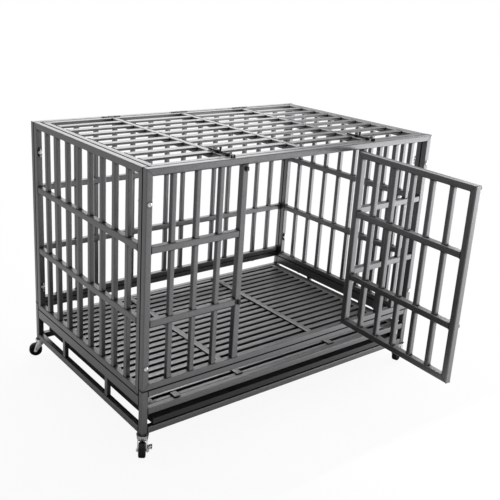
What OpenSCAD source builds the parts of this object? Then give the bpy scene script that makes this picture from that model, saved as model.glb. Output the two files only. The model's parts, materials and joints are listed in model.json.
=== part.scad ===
// Heavy duty dog crate of welded square tube on four swivel castors.
// X runs along the length, the front with the door faces -Y, Z is up.
// The origin is on the floor, under the middle of the crate.

/* [Crate] */
// Length over the corner posts
crate_l = 1120; // [1000:2:1240]
// Depth over the corner posts, front to back
crate_w = 716; // [640:2:800]
// Height of the front and back panels above the base
panel_h = 634; // [560:2:720]
// Height of the base frame above the castors
base_h = 138; // [132:1:170]

/* [Tubes] */
// Side of the square frame tube
tube = 20; // [18:0.5:22]
// Side of the square bar
bar = 15; // [12:0.5:16]
// Height of the base side rails, which carry the end panels
side_rail_h = 33; // [26:1:36]
// Root gap left at each cut tube end for the weld
weld_gap = 0.2; // [0.1:0.05:0.4]
// Gap between an end panel and the front or back panel
panel_gap = 1; // [0.6:0.1:2]

/* [Panels] */
// Bars in each end panel
end_bars = 8; // [6:1:10]
// Bars in the back panel
back_bars = 14; // [11:1:16]
// Bars in each fixed section of the front panel
front_bars = 3; // [2:1:4]
// Rails across each panel between its top and bottom rails
mid_rails = 2; // [1:1:3]
// Width of the doorway
doorway_w = 458; // [400:2:520]

/* [Door] */
// Bars in the door
door_bars = 5; // [4:1:6]
// Gap between the door and each door post
door_side_gap = 5; // [4:0.5:7]
// Gap over the door
door_top_gap = 2; // [1.5:0.5:8]
// Gap under the door
door_foot_gap = 10; // [6:0.5:14]
// Angle at which the door stands open
door_open = 86; // [0:1:170]
// Distance of the hinge axis in front of the panel
door_axis_out = 5; // [4.8:0.1:7]

/* [Lid] */
// Gap round the sides and front of the lid
lid_gap = 3; // [2:0.5:5]
// Gap behind the lid, which holds its hinges
lid_hinge_gap = 9; // [8.8:0.2:11]
// Cross bars in the lid
lid_cross_bars = 3; // [3:2:5]
// Slats in each bay of the lid
lid_slats = 8; // [6:1:9]
// Width of the lid's flat slats
lid_slat_w = 25; // [20:0.5:30]
// Thickness of the lid's flat slats
lid_slat_t = 7; // [5:0.5:10]

/* [Floor] */
// Height of the deck's top above the underside of the base
deck_rise = 80; // [78:1:84]
// Depth of the deck's top below the top of the rails beside it
deck_sink = 1; // [0.5:0.5:2]
// Thickness of the deck
deck_t = 15; // [12:0.5:17]
// Slats between the deck's two edge strips
deck_slats = 19; // [15:1:21]
// Width of the slots between the slats
deck_slot_w = 13.5; // [9:0.5:14]
// Width of the edge strips along the front and back of the deck
deck_edge_w = 14; // [8:0.5:18]
// Width of the plain board at each end of the deck
deck_end_w = 36; // [28:1:60]
// Distance of each strap over the slats from the middle of the deck
strap_out = 197; // [150:1:240]
// Width of the straps
strap_w = 22; // [16:1:28]
// Thickness of the straps
strap_t = 4; // [2:0.5:5]
// Gap round the deck
deck_gap = 0.5; // [0.3:0.1:0.9]

/* [Tray] */
// Gap between the tray and the base's end rails
tray_side_gap = 19; // [8:1:40]
// Height of the tray's wall
tray_h = 18; // [12:1:24]
// Wall of the tray
tray_wall = 3; // [2:0.5:4]
// Height of the tray's floor above the lower rails
tray_lift = 4; // [3:0.5:6]
// Gap between the tray and the runners that it slides on
tray_clearance = 0.2; // [0.1:0.05:0.5]
// Distance of the tray's front behind the front of the crate
tray_setback = 2; // [1:0.5:6]
// Gap between the tray's back and the line of the back rails
tray_back_gap = 2; // [1:0.5:6]

/* [Bolts] */
// Radius of the bolt shanks
bolt_r = 3; // [2.5:0.1:3.5]
// Radius of the domed bolt heads
bolt_head_r = 7; // [6:0.5:8]
// Height of the domed bolt heads
bolt_head_h = 5; // [4:0.5:7]
// Radial clearance of a bolt in its hole
bolt_clearance = 0.2; // [0.1:0.05:0.4]
// Upper corner bolts below the top of the panels
bolt_drop = 95; // [70:1:130]
// Lower corner bolts above the foot of the front panel
bolt_rise = 70; // [50:1:100]
// Base screws from the ends of their rail
screw_inset = 150; // [110:5:200]
// Depth that a base screw reaches into the panel above
screw_bite = 12; // [8:1:14]

/* [Hinges] */
// Radius of the hinge pins
pin_r = 2.5; // [2:0.1:2.8]
// Radius of the door hinge barrels
barrel_r = 4.7; // [4.2:0.1:4.7]
// Radius of the lid hinge barrels
lid_barrel_r = 4; // [3.6:0.1:4.2]
// Length of one hinge knuckle
knuckle_l = 22; // [16:1:28]
// Gap between two knuckles
knuckle_gap = 1; // [0.6:0.1:1.5]
// Radial clearance of every pin, rod and axle that runs in a hole
run_fit = 0.05; // [0.03:0.01:0.08]
// Width of a hinge leaf
leaf_w = 14; // [10:1:17]
// Thickness of a hinge leaf
leaf_t = 3; // [2:0.5:4]
// End of a door hinge from the end of the door
door_hinge_inset = 4; // [0:1:40]

/* [Latches] */
// Radius of the sliding bolts
rod_r = 3; // [2.6:0.1:3.4]
// Length of the sliding bolts
rod_l = 95; // [88:1:105]
// Width of the guides and keepers
guide_w = 11; // [9.5:0.5:13]
// Height of the guides and keepers
guide_h = 9; // [8.5:0.5:11]
// Length of a guide along its bolt
guide_l = 8; // [6:0.5:9]
// Distance between the two guides of one bolt
guide_span = 48; // [46:1:54]
// Play of a bolt in its keeper, all round
keeper_play = 0.8; // [0.5:0.1:1]
// Travel of the sliding bolts
bolt_travel = 26; // [24:1:28]
// Height of the bolt's handle above its axis
handle_h = 12; // [11:0.5:18]
// Radius of the bolt's handle
handle_r = 2.5; // [2:0.1:3]

/* [Castors] */
// Height from the floor to the base frame
castor_h = 65; // [64:1:80]
// Radius of the wheels
wheel_r = 22.5; // [20:0.5:23]
// Width of the wheels
wheel_w = 21; // [18:0.5:24]
// Rounding of the tread's edges
tread_round = 5; // [2:0.5:6]
// Distance of the axle behind the swivel axis
castor_trail = 17; // [13:0.5:20]
// Radius of the axles
axle_r = 3; // [2.5:0.1:3.5]
// Thickness of the fork legs
leg_t = 2.5; // [2:0.25:3]
// Gap between the wheel and each fork leg
leg_gap = 1.2; // [0.8:0.1:2]
// Radius of the swivel cup's rim
cup_r = 18; // [16:0.5:20]
// Height of the swivel cup
cup_h = 15.5; // [12:0.5:16]
// Wall of the swivel cup
cup_wall = 2; // [1.5:0.25:3]
// Directions in which the castors trail: front left, front right, back left, back right
castor_turn = [236, 200, 155, 200]; // [0:1:359]

/* [Hidden] */
$fn = 48;
overrun = 1;
half_l = crate_l / 2;
half_w = crate_w / 2;
sides = [-1, 1];

// Levels of the base and the panels
base_z = castor_h;
seat_z = base_z + base_h;
end_seat_z = seat_z - tube;
top_z = seat_z + panel_h;
deck_z = base_z + deck_rise;
deck_rail_z = deck_z + deck_sink - tube;
low_rail_top = base_z + tube;
side_rail_z = end_seat_z - side_rail_h;
mid_step = (top_z - end_seat_z - tube) / (mid_rails + 1);
mid_z = [for (j = [mid_rails : -1 : 1]) top_z - tube / 2 - j * mid_step];

// Place of the base's end uprights, as a share of the depth from the middle
upright_share = 0.2;
upright_y = crate_w * upright_share;

// End panels stand between the front and back panels
end_w = crate_w - 2 * (tube + panel_gap);

// Corner bolts and base screws
bolt_z = [seat_z + bolt_rise, top_z - bolt_drop];
hole_r = bolt_r + bolt_clearance;
nut_r = 6;
nut_h = 7;
wing_l = 9;
wing_t = 2;
wing_h = 10;
bolt_tip = 4;
grip = 2 * tube + panel_gap;
screw_head_r = 5.5;
screw_head_h = 4;
screw_x = half_l - screw_inset;
screw_y = half_w - screw_inset;
hex_sides = 6;

// Door in its closed place
door_x0 = -doorway_w / 2 + door_side_gap;
door_x1 = doorway_w / 2 - door_side_gap;
door_z0 = seat_z + tube + door_foot_gap;
door_z1 = top_z - tube - door_top_gap;
door_post_x = doorway_w / 2 + tube / 2;
hinge_x = doorway_w / 2 - door_side_gap / 2;
hinge_y = -half_w - door_axis_out;
pin_hole_r = pin_r + run_fit;
pin_head_r = 4;
pin_head_h = 1.5;
hinge_l = 3 * knuckle_l + 2 * knuckle_gap;
door_hinge_z = [door_z0 + door_hinge_inset, door_z1 - door_hinge_inset - hinge_l];

// Lid in its closed place
lid_x = half_l - tube - lid_gap;
lid_y0 = -half_w + tube + lid_gap;
lid_y1 = half_w - tube - lid_hinge_gap;
lid_axis_y = half_w - tube - lid_hinge_gap / 2;
lid_foot_h = 10;
lid_bay = crate_l / (lid_cross_bars + 1);
lid_cross_x = [for (i = [1 : lid_cross_bars]) -half_l + i * lid_bay];
lid_latch_x = [lid_cross_x[0], lid_cross_x[lid_cross_bars - 1]];
rest_l = 30;
rest_w = 14;
rest_t = 3;
rest_x = lid_bay;

// Latches: the rod lies half a guide's height above what carries it
rod_rise = guide_h / 2;
keeper_r = rod_r + keeper_play;
rod_hole_r = rod_r + run_fit;
rod_proud = 2;
handle_gap = 2;
handle_back = guide_l / 2 + handle_r + bolt_travel + handle_gap;
knob_r = 4;
lid_front_guide = lid_y0 + tube / 2;
lid_keeper_y = -half_w + tube / 2;
door_front_guide = door_x0 + tube / 2;
door_keeper_x = -door_post_x;
door_latch_z = [mid_z[0], door_z1 - tube / 2];

// Deck
deck_x = half_l - tube - deck_gap;
deck_y = half_w - tube - deck_gap;
deck_inner = deck_x - deck_end_w;
slats_y = deck_y - deck_edge_w - deck_slot_w;
deck_slat_w = (2 * slats_y - (deck_slats - 1) * deck_slot_w) / deck_slats;
ledge_w = 10;
ledge_t = deck_z - deck_t - deck_rail_z;
clip_w = 20;
clip_t = 2;
clip_rise = 4;
clip_front = 8;
clip_inset = 125;
clip_x = half_l - clip_inset;

// Tray and the runners under it
tray_z = low_rail_top + tray_lift;
tray_y0 = -half_w + tray_setback;
tray_y1 = half_w - tube - tray_back_gap;
tray_x = half_l - tube - tray_side_gap;
runner_inset = 40;
runner_x = half_l - tube - runner_inset;
runner_top = tray_z - tray_clearance;

// Castors
castor_x = half_l - tube / 2;
castor_y = half_w - tube / 2;
castor_at = [[-1, -1], [1, -1], [-1, 1], [1, 1]];
axle_hole_r = axle_r + run_fit;
leg_in = wheel_w / 2 + leg_gap;
leg_out = leg_in + leg_t;
leg_end_r = 6;
cup_foot_r = 15.5;
cup_floor = 3;
cup_gap = 1.5;
cup_top = castor_h - cup_gap;
cup_z = cup_top - cup_h;
leg_front = 14;
leg_back = 12;
stem_r = 5;
stem_hole_r = stem_r + run_fit;
collar_r = 9;
collar_gap = 1;
rivet_r = 7;
rivet_h = 1.5;
rivet_gap = 0.3;
axle_head_r = 4.5;
axle_head_h = 3;
brake_gap = 0.4;
brake_t = 2.5;
brake_r = 7;
brake_arm_h = 14;
brake_arm_w = 10;
pedal_l = 14;
pedal_t = 2.5;
pedal_w = 12;
pedal_tilt = 18;

steel = [0.43, 0.44, 0.46];
zinc = [0.82, 0.82, 0.84];
black = [0.10, 0.10, 0.11];
dark = [0.26, 0.27, 0.28];

// A square-cut tube or strip between two opposite corners
module block(low, high) {
    translate(low) cube(high - low);
}

// A rectangular frame in the XZ plane, mitred at its corners, from (x0, z0) to (x1, z1)
module mitred_frame(x0, x1, z0, z1) {
    g = weld_gap;
    t = tube;
    rails = [
        [[x0 + g, z0], [x1 - g, z0], [x1 - t - g, z0 + t], [x0 + t + g, z0 + t]],
        [[x0 + t + g, z1 - t], [x1 - t - g, z1 - t], [x1 - g, z1], [x0 + g, z1]]
    ];
    posts = [
        [[x0, z0 + g], [x0 + t, z0 + t + g], [x0 + t, z1 - t - g], [x0, z1 - g]],
        [[x1 - t, z0 + t + g], [x1, z0 + g], [x1, z1 - g], [x1 - t, z1 - t - g]]
    ];
    for (outline = concat(rails, posts))
        translate([0, t, 0])
            rotate([90, 0, 0])
                linear_extrude(t) polygon(outline);
}

// Rails and upright bars that fill a frame's clear opening from (x0, z0) to (x1, z1)
module barred_bay(x0, x1, z0, z1, bars) {
    pitch = (x1 - x0 + tube) / (bars + 1);
    feet = concat([z0], [for (z = mid_z) z + tube / 2]);
    heads = concat([for (z = mid_z) z - tube / 2], [z1]);
    bar_y = (tube - bar) / 2;
    for (z = mid_z)
        block([x0 + weld_gap, 0, z - tube / 2], [x1 - weld_gap, tube, z + tube / 2]);
    for (i = [1 : bars], tier = [0 : mid_rails]) {
        x = x0 - tube / 2 + i * pitch - bar / 2;
        block([x, bar_y, feet[tier] + weld_gap], [x + bar, bar_y + bar, heads[tier] - weld_gap]);
    }
}

// A framed and barred panel in the XZ plane, centred on X, with its face at Y = 0
module barred_panel(width, z0, z1, bars) {
    mitred_frame(-width / 2, width / 2, z0, z1);
    barred_bay(-width / 2 + tube, width / 2 - tube, z0 + tube, z1 - tube, bars);
}

// Places a child at each corner bolt, with +Y running into the crate
module at_corner_bolts() {
    for (sx = sides, sy = sides, z = bolt_z)
        translate([sx * castor_x, sy * half_w, z])
            rotate([0, 0, sy < 0 ? 0 : 180])
                children();
}

// Places a child under each base screw's rail, with the screw running up
module at_base_screws() {
    for (sx = sides, sy = sides) {
        translate([sx * screw_x, sy * castor_y, end_seat_z]) children(0);
        translate([sx * castor_x, sy * screw_y, side_rail_z]) children(1);
    }
}

module screw_hole(rail) {
    translate([0, 0, -overrun])
        cylinder(r = hole_r, h = overrun + rail + screw_bite + bolt_clearance);
}

module screw(rail) {
    translate([0, 0, -screw_head_h])
        cylinder(r = screw_head_r, h = screw_head_h, $fn = hex_sides);
    cylinder(r = bolt_r, h = rail + screw_bite);
}

module screw_holes() {
    at_base_screws() {
        screw_hole(tube);
        screw_hole(side_rail_h);
    }
}

module bolt_holes() {
    at_corner_bolts()
        translate([0, -overrun, 0])
            rotate([-90, 0, 0])
                cylinder(r = hole_r, h = grip + 2 * overrun);
}

// Posts, three rails front and back, two rails and two uprights at each end
module base_frame() {
    g = weld_gap;
    in_x = half_l - tube;
    in_y = half_w - tube;
    color(steel) difference() {
        union() {
            for (sx = sides, sy = sides)
                translate([sx * castor_x - tube / 2, sy * castor_y - tube / 2, base_z])
                    cube([tube, tube, base_h]);
            for (sy = sides, z = [base_z, deck_rail_z, end_seat_z])
                translate([-in_x + g, sy * castor_y - tube / 2, z])
                    cube([2 * (in_x - g), tube, tube]);
            for (sx = sides) translate([sx * castor_x - tube / 2, 0, 0]) {
                block([0, -in_y + g, base_z], [tube, in_y - g, low_rail_top]);
                block([0, -in_y + g, side_rail_z], [tube, in_y - g, end_seat_z]);
                for (sy = sides)
                    translate([(tube - bar) / 2, sy * upright_y - bar / 2, low_rail_top + g])
                        cube([bar, bar, side_rail_z - low_rail_top - 2 * g]);
            }
        }
        screw_holes();
    }
}

// Bars from the front to the back lower rail, which the tray slides on
module tray_runners() {
    run = half_w - tube - weld_gap;
    color(steel) for (sx = sides)
        translate([sx * runner_x - bar / 2, -run, runner_top - bar])
            cube([bar, 2 * run, bar]);
}

// Flat strips welded along the deck rails, under the deck
module deck_ledges() {
    run = half_l - tube - weld_gap;
    color(steel) for (sy = sides)
        translate([-run, sy * (half_w - tube - ledge_w / 2) - ledge_w / 2, deck_rail_z])
            cube([2 * run, ledge_w, ledge_t]);
}

// Slats and edge strips along the crate between two end boards, with straps over the slats
module floor_deck() {
    run = deck_inner - weld_gap;
    under = deck_z - deck_t;
    over = deck_z + weld_gap;
    color(steel) {
        for (side = sides) {
            translate([side * (deck_x - deck_end_w / 2) - deck_end_w / 2, -deck_y, under])
                cube([deck_end_w, 2 * deck_y, deck_t]);
            translate([-run, side * (deck_y - deck_edge_w / 2) - deck_edge_w / 2, under])
                cube([2 * run, deck_edge_w, deck_t]);
            translate([side * strap_out - strap_w / 2, -deck_y, over])
                cube([strap_w, 2 * deck_y, strap_t]);
        }
        for (i = [0 : deck_slats - 1])
            translate([-run, -slats_y + i * (deck_slat_w + deck_slot_w), under])
                cube([2 * run, deck_slat_w, deck_t]);
    }
}

// Tongues welded on the deck's front edge strip, which stand off over the front deck rail
module deck_clips() {
    back_y = -deck_y + deck_edge_w;
    color(steel) for (sx = sides)
        translate([sx * clip_x - clip_w / 2, 0, deck_z]) {
            block([0, -deck_y, 0], [clip_w, back_y, clip_rise]);
            block([0, -half_w + clip_front, clip_rise], [clip_w, back_y, clip_rise + clip_t]);
        }
}

// Shallow tray that draws out under the front deck rail
module waste_tray() {
    color(dark) difference() {
        block([-tray_x, tray_y0, tray_z], [tray_x, tray_y1, tray_z + tray_h]);
        block([-tray_x + tray_wall, tray_y0 + tray_wall, tray_z + tray_wall],
              [tray_x - tray_wall, tray_y1 - tray_wall, tray_z + tray_h + overrun]);
    }
}

module end_panel(x) {
    color(steel) difference() {
        translate([x, 0, 0])
            rotate([0, 0, 90])
                barred_panel(end_w, end_seat_z, top_z, end_bars);
        bolt_holes();
        screw_holes();
    }
}

module left_end_panel() {
    end_panel(-half_l + tube);
}

module right_end_panel() {
    end_panel(half_l);
}

module back_panel() {
    color(steel) difference() {
        translate([0, half_w - tube, 0]) barred_panel(crate_l, seat_z, top_z, back_bars);
        bolt_holes();
        screw_holes();
    }
}

// A full frame with two door posts and a barred section on each side of the doorway
module front_panel() {
    z0 = seat_z + tube;
    z1 = top_z - tube;
    out_x = half_l - tube;
    in_x = door_post_x + tube / 2;
    color(steel) difference() {
        translate([0, -half_w, 0]) {
            mitred_frame(-half_l, half_l, seat_z, top_z);
            for (sx = sides)
                translate([sx * door_post_x - tube / 2, 0, z0 + weld_gap])
                    cube([tube, tube, z1 - z0 - 2 * weld_gap]);
            barred_bay(-out_x, -in_x, z0, z1, front_bars);
            barred_bay(in_x, out_x, z0, z1, front_bars);
        }
        bolt_holes();
        screw_holes();
    }
}

// Domed bolts through the front or back post and the end panel's post
module corner_bolts() {
    dome_share = 0.45;
    crown_share = 0.6;
    rim = bolt_head_h * dome_share;
    color(zinc) at_corner_bolts() rotate([-90, 0, 0]) {
        cylinder(r = bolt_r, h = grip + nut_h + bolt_tip);
        translate([0, 0, -rim]) cylinder(r = bolt_head_r, h = rim);
        translate([0, 0, -bolt_head_h])
            cylinder(r1 = bolt_head_r * crown_share, r2 = bolt_head_r, h = bolt_head_h - rim);
    }
}

module wing_nuts() {
    reach = nut_r + wing_l;
    color(zinc) at_corner_bolts() translate([0, grip, 0]) rotate([-90, 0, 0]) difference() {
        union() {
            cylinder(r = nut_r, h = nut_h);
            translate([-wing_t / 2, -reach, 0]) cube([wing_t, 2 * reach, nut_h]);
            for (side = sides)
                translate([-wing_t / 2, side * (reach - wing_l / 2) - wing_l / 2, 0])
                    cube([wing_t, wing_l, wing_h]);
        }
        translate([0, 0, -overrun]) cylinder(r = hole_r, h = nut_h + 2 * overrun);
    }
}

module base_screws() {
    color(zinc) at_base_screws() {
        screw(tube);
        screw(side_rail_h);
    }
}

// Turns what belongs to the door from its closed place to where it stands open
module opened() {
    translate([hinge_x, hinge_y, 0])
        rotate([0, 0, door_open])
            translate([-hinge_x, -hinge_y, 0])
                children();
}

module front_door() {
    color(steel) opened() translate([0, -half_w, 0]) {
        mitred_frame(door_x0, door_x1, door_z0, door_z1);
        barred_bay(door_x0 + tube, door_x1 - tube, door_z0 + tube, door_z1 - tube, door_bars);
    }
}

// One door hinge knuckle at height z with a leaf towards side
module door_knuckle(z, side) {
    leaf = door_axis_out - leaf_t;
    translate([hinge_x, hinge_y, z]) difference() {
        union() {
            cylinder(r = barrel_r, h = knuckle_l);
            translate([side < 0 ? -leaf_w - door_side_gap / 2 : 0, leaf, 0])
                cube([leaf_w + door_side_gap / 2, leaf_t, knuckle_l]);
        }
        translate([0, 0, -overrun]) cylinder(r = pin_hole_r, h = knuckle_l + 2 * overrun);
    }
}

module door_post_knuckles() {
    color(steel) for (z = door_hinge_z, i = [0, 2])
        door_knuckle(z + i * (knuckle_l + knuckle_gap), 1);
}

module door_knuckles() {
    color(steel) opened() for (z = door_hinge_z)
        door_knuckle(z + knuckle_l + knuckle_gap, -1);
}

module hinge_pin(length) {
    cylinder(r = pin_r, h = length);
    translate([0, 0, length]) cylinder(r = pin_head_r, h = pin_head_h);
}

module door_hinge_pins() {
    color(zinc) for (z = door_hinge_z)
        translate([hinge_x, hinge_y, z]) hinge_pin(hinge_l);
}

// A guide block on the plane Z = 0, bored along X for a rod
module rod_guide() {
    difference() {
        translate([-guide_l / 2, -guide_w / 2, 0]) cube([guide_l, guide_w, guide_h]);
        translate([-guide_l / 2 - overrun, 0, rod_rise])
            rotate([0, 90, 0])
                cylinder(r = rod_hole_r, h = guide_l + 2 * overrun);
    }
}

// A keeper staple on the plane Z = 0, open along X for a rod to slide under
module keeper() {
    difference() {
        translate([-guide_l / 2, -guide_w / 2, 0]) cube([guide_l, guide_w, guide_h]);
        translate([-guide_l / 2 - overrun, -keeper_r, -overrun])
            cube([guide_l + 2 * overrun, 2 * keeper_r, rod_rise + keeper_r + overrun]);
    }
}

// The two guides of a latch: the front one at the origin, the other towards +X
module guide_pair() {
    for (x = [0, guide_span])
        translate([x, 0, 0]) rod_guide();
}

// A sliding bolt drawn back, its tip just proud of the front guide
module latch_rod() {
    translate([-guide_l / 2 - rod_proud, 0, rod_rise]) {
        rotate([0, 90, 0]) cylinder(r = rod_r, h = rod_l);
        translate([guide_l / 2 + handle_back + rod_proud, 0, 0]) {
            cylinder(r = handle_r, h = handle_h);
            translate([0, 0, handle_h]) sphere(r = knob_r);
        }
    }
}

// Latch places: on the lid the bolt points forwards, on the door towards its free edge
module on_lid(x) {
    translate([x, lid_front_guide, top_z]) rotate([0, 0, 90]) children();
}

module on_door(z) {
    opened() translate([door_front_guide, -half_w, z]) rotate([90, 0, 0]) children();
}

module door_latch_guides() {
    color(black) for (z = door_latch_z) on_door(z) guide_pair();
}

module lower_door_bolt() {
    color(black) on_door(door_latch_z[0]) latch_rod();
}

module upper_door_bolt() {
    color(black) on_door(door_latch_z[1]) latch_rod();
}

module door_keepers() {
    color(black) for (z = door_latch_z)
        translate([door_keeper_x, -half_w, z]) rotate([90, 0, 0]) keeper();
}

// Frame, cross bars and flat slats, level with the panels' tops
module roof_lid() {
    g = weld_gap;
    deep = lid_y1 - lid_y0;
    in_y0 = lid_y0 + tube;
    in_y1 = lid_y1 - tube;
    pitch = (in_y1 - in_y0 + tube) / (lid_slats + 1);
    edges = concat([-lid_x + tube], [for (x = lid_cross_x) x + tube / 2]);
    ends = concat([for (x = lid_cross_x) x - tube / 2], [lid_x - tube]);
    color(steel) {
        translate([0, lid_y0, top_z])
            rotate([-90, 0, 0])
                mitred_frame(-lid_x, lid_x, 0, deep);
        for (x = lid_cross_x)
            block([x - tube / 2, in_y0 + g, top_z - tube], [x + tube / 2, in_y1 - g, top_z]);
        for (bay = [0 : lid_cross_bars], i = [1 : lid_slats]) {
            y = in_y0 - tube / 2 + i * pitch - lid_slat_w / 2;
            block([edges[bay] + g, y, top_z - lid_slat_t],
                  [ends[bay] - g, y + lid_slat_w, top_z]);
        }
    }
}

// Tabs on the front top rail that the closed lid lies on
module lid_rests() {
    z = top_z - tube;
    color(steel) for (sx = sides)
        translate([sx * rest_x - rest_l / 2, -half_w + tube, z - rest_t])
            cube([rest_l, rest_w, rest_t]);
}

// Places a child at the left end of the lid hinge behind each cross bar, with the axis along +Z
module at_lid_hinges() {
    for (x = lid_cross_x)
        translate([x - hinge_l / 2, lid_axis_y, top_z])
            rotate([0, 90, 0])
                children();
}

// One lid hinge knuckle with a foot towards the roof rail or the lid
module lid_knuckle(i, side) {
    reach = lid_hinge_gap / 2;
    translate([0, 0, i * (knuckle_l + knuckle_gap)]) difference() {
        union() {
            cylinder(r = lid_barrel_r, h = knuckle_l);
            translate([0, side < 0 ? -reach : 0, 0]) cube([lid_foot_h, reach, knuckle_l]);
        }
        translate([0, 0, -overrun]) cylinder(r = pin_hole_r, h = knuckle_l + 2 * overrun);
    }
}

module roof_knuckles() {
    color(steel) at_lid_hinges() for (i = [0, 2]) lid_knuckle(i, 1);
}

module lid_knuckles() {
    color(steel) at_lid_hinges() lid_knuckle(1, -1);
}

module lid_hinge_pins() {
    color(zinc) at_lid_hinges() cylinder(r = pin_r, h = hinge_l);
}

module lid_latch_guides() {
    color(black) for (x = lid_latch_x) on_lid(x) guide_pair();
}

module left_lid_bolt() {
    color(black) on_lid(lid_latch_x[0]) latch_rod();
}

module right_lid_bolt() {
    color(black) on_lid(lid_latch_x[1]) latch_rod();
}

module lid_keepers() {
    color(black) for (x = lid_latch_x)
        translate([x, lid_keeper_y, top_z]) rotate([0, 0, 90]) keeper();
}

// Places a child on the swivel axis of castor i at floor level, trailing along +X
module at_castor(i) {
    translate([castor_at[i][0] * castor_x, castor_at[i][1] * castor_y, 0])
        rotate([0, 0, castor_turn[i]])
            children();
}

// Places a child on the axle of castor i, with the axle along +Z and -Y up
module at_axle(i) {
    at_castor(i) translate([castor_trail, 0, wheel_r]) rotate([-90, 0, 0]) children();
}

// Collar, shaft and rivet head on which the castors swivel
module castor_stems() {
    floor_top = cup_z + cup_floor;
    rivet_z = cup_z - rivet_gap - rivet_h;
    collar_z = floor_top + collar_gap;
    color(zinc) for (i = [0 : len(castor_at) - 1]) at_castor(i) {
        translate([0, 0, collar_z]) cylinder(r = collar_r, h = castor_h - collar_z);
        translate([0, 0, rivet_z]) cylinder(r = stem_r, h = collar_z - rivet_z);
        translate([0, 0, rivet_z]) cylinder(r = rivet_r, h = rivet_h);
    }
}

// Open swivel cup with two tapered legs
module fork(i) {
    leg_top = cup_z + cup_floor;
    color(zinc) difference() {
        union() {
            at_castor(i) {
                translate([0, 0, cup_z]) rotate_extrude() polygon([
                    [stem_hole_r, 0], [cup_foot_r, 0], [cup_r, cup_h], [cup_r - cup_wall, cup_h],
                    [cup_foot_r - cup_wall, cup_floor], [stem_hole_r, cup_floor]
                ]);
                for (side = sides)
                    translate([0, side * (leg_in + leg_t / 2) + leg_t / 2, 0])
                        rotate([90, 0, 0])
                            linear_extrude(leg_t) {
                                polygon([
                                    [-leg_back, leg_top], [leg_front, leg_top],
                                    [castor_trail + leg_end_r, wheel_r],
                                    [castor_trail - leg_end_r, wheel_r]
                                ]);
                                translate([castor_trail, wheel_r]) circle(r = leg_end_r);
                            }
            }
        }
        at_axle(i)
            translate([0, 0, -leg_out - overrun])
                cylinder(r = axle_hole_r, h = 2 * (leg_out + overrun));
    }
}

// Solid wheel with a rounded tread
module wheel(i) {
    flat = wheel_w / 2 - tread_round;
    color(black) at_axle(i) rotate_extrude() {
        translate([axle_hole_r, -wheel_w / 2])
            square([wheel_r - tread_round - axle_hole_r, wheel_w]);
        translate([axle_hole_r, -flat]) square([wheel_r - axle_hole_r, 2 * flat]);
        for (side = sides)
            translate([wheel_r - tread_round, side * flat]) circle(r = tread_round);
    }
}

// Axle bolt with a head on one side and a nut on the other, outside any brake
module axle(i, braked) {
    nut_at = leg_out + (braked ? 2 * brake_gap + brake_t : 0);
    color(zinc) at_axle(i) {
        translate([0, 0, -leg_out]) cylinder(r = axle_r, h = leg_out + nut_at);
        translate([0, 0, -leg_out - axle_head_h]) cylinder(r = axle_head_r, h = axle_head_h);
        translate([0, 0, nut_at])
            cylinder(r = axle_head_r, h = axle_head_h, $fn = hex_sides);
    }
}

// Side lever that turns on the axle, with a forked pedal
module brake(i) {
    color(steel) at_axle(i) translate([0, 0, leg_out + brake_gap]) difference() {
        union() {
            cylinder(r = brake_r, h = brake_t);
            translate([-brake_arm_w / 2, -brake_arm_h, 0])
                cube([brake_arm_w, brake_arm_h, brake_t]);
            for (side = sides)
                translate([-pedal_w / 2, -brake_arm_h + pedal_t, 0])
                    rotate([side * pedal_tilt, 0, 0])
                        translate([0, -pedal_t / 2, 0])
                            cube([pedal_w, pedal_t, pedal_l]);
        }
        translate([0, 0, -overrun]) cylinder(r = axle_hole_r, h = brake_t + 2 * overrun);
        translate([-pedal_w, -brake_arm_h - brake_r, -brake_arm_h])
            cube([2 * pedal_w, 2 * brake_r + brake_arm_h, brake_arm_h]);
    }
}

base_frame();
tray_runners();
deck_ledges();
floor_deck();
deck_clips();
waste_tray();
left_end_panel();
right_end_panel();
back_panel();
front_panel();
corner_bolts();
wing_nuts();
base_screws();
front_door();
door_post_knuckles();
door_knuckles();
door_hinge_pins();
door_latch_guides();
upper_door_bolt();
lower_door_bolt();
door_keepers();
roof_lid();
lid_rests();
roof_knuckles();
lid_knuckles();
lid_hinge_pins();
lid_latch_guides();
left_lid_bolt();
right_lid_bolt();
lid_keepers();
castor_stems();
fork(0);  // front_left_fork
fork(1);  // front_right_fork
fork(2);  // back_left_fork
fork(3);  // back_right_fork
wheel(0);  // front_left_wheel
wheel(1);  // front_right_wheel
wheel(2);  // back_left_wheel
wheel(3);  // back_right_wheel
axle(0, true);  // front_left_axle
axle(1, true);  // front_right_axle
axle(2, false);  // back_left_axle
axle(3, false);  // back_right_axle
brake(0);  // front_left_brake
brake(1);  // front_right_brake
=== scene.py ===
# %% [markdown]
# # A heavy duty pet crate
# The crate is a cage of welded square tube. Its exact tubes, hinges, bolts and castors come ready
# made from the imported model, so this lesson is about everything that makes bare solids look like
# a real product: rounded corners, weld beads, turned wheels, powder coat, zinc plate and a studio.
# Every object is in metres, with X along the crate, -Y out of its front and Z up.

import json
import math

import bmesh
import bpy
from mathutils import Matrix, Vector


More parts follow.
